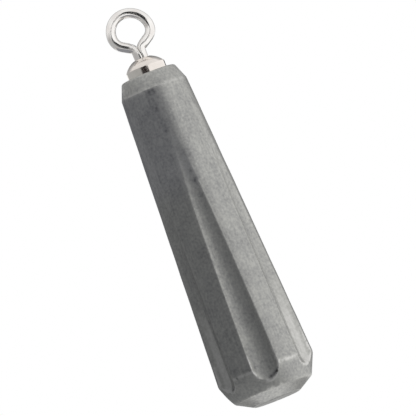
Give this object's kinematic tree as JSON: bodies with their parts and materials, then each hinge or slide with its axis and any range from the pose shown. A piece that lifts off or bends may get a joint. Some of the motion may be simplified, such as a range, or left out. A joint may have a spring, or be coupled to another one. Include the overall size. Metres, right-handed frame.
{
  "type": "fishing sinker",
  "caption": "Slim cone-shaped sinker with pressed flutes and a bright rolling swivel potted in its narrow end, whose wire eye spins and takes the fishing line.",
  "frame": {"origin": "centre of the flat foot at the wide end", "axes": "+Z along the sinker's axis from the foot to the line eye; the line eye lies in the XZ plane and one flute faces -Y"},
  "size_m": [0.007, 0.0068, 0.029],
  "materials": {
    "sintered_tungsten": "satin",
    "nickel_plate": "polished",
    "bright_wire": "polished",
    "cured_resin": "gloss"
  },
  "bodies": {
    "weight": {"sinker_body": "sintered_tungsten", "swivel_barrel": "nickel_plate", "anchor_eye": "bright_wire", "potting_resin": "cured_resin"},
    "eye": {"line_eye": "bright_wire"}
  },
  "joints": [
    {"name": "eye_spin", "type": "hinge", "parent": "weight", "child": "eye", "pos_m": [0, 0, 0.02538], "axis": [0, 0, 1], "continuous": true}
  ]
}
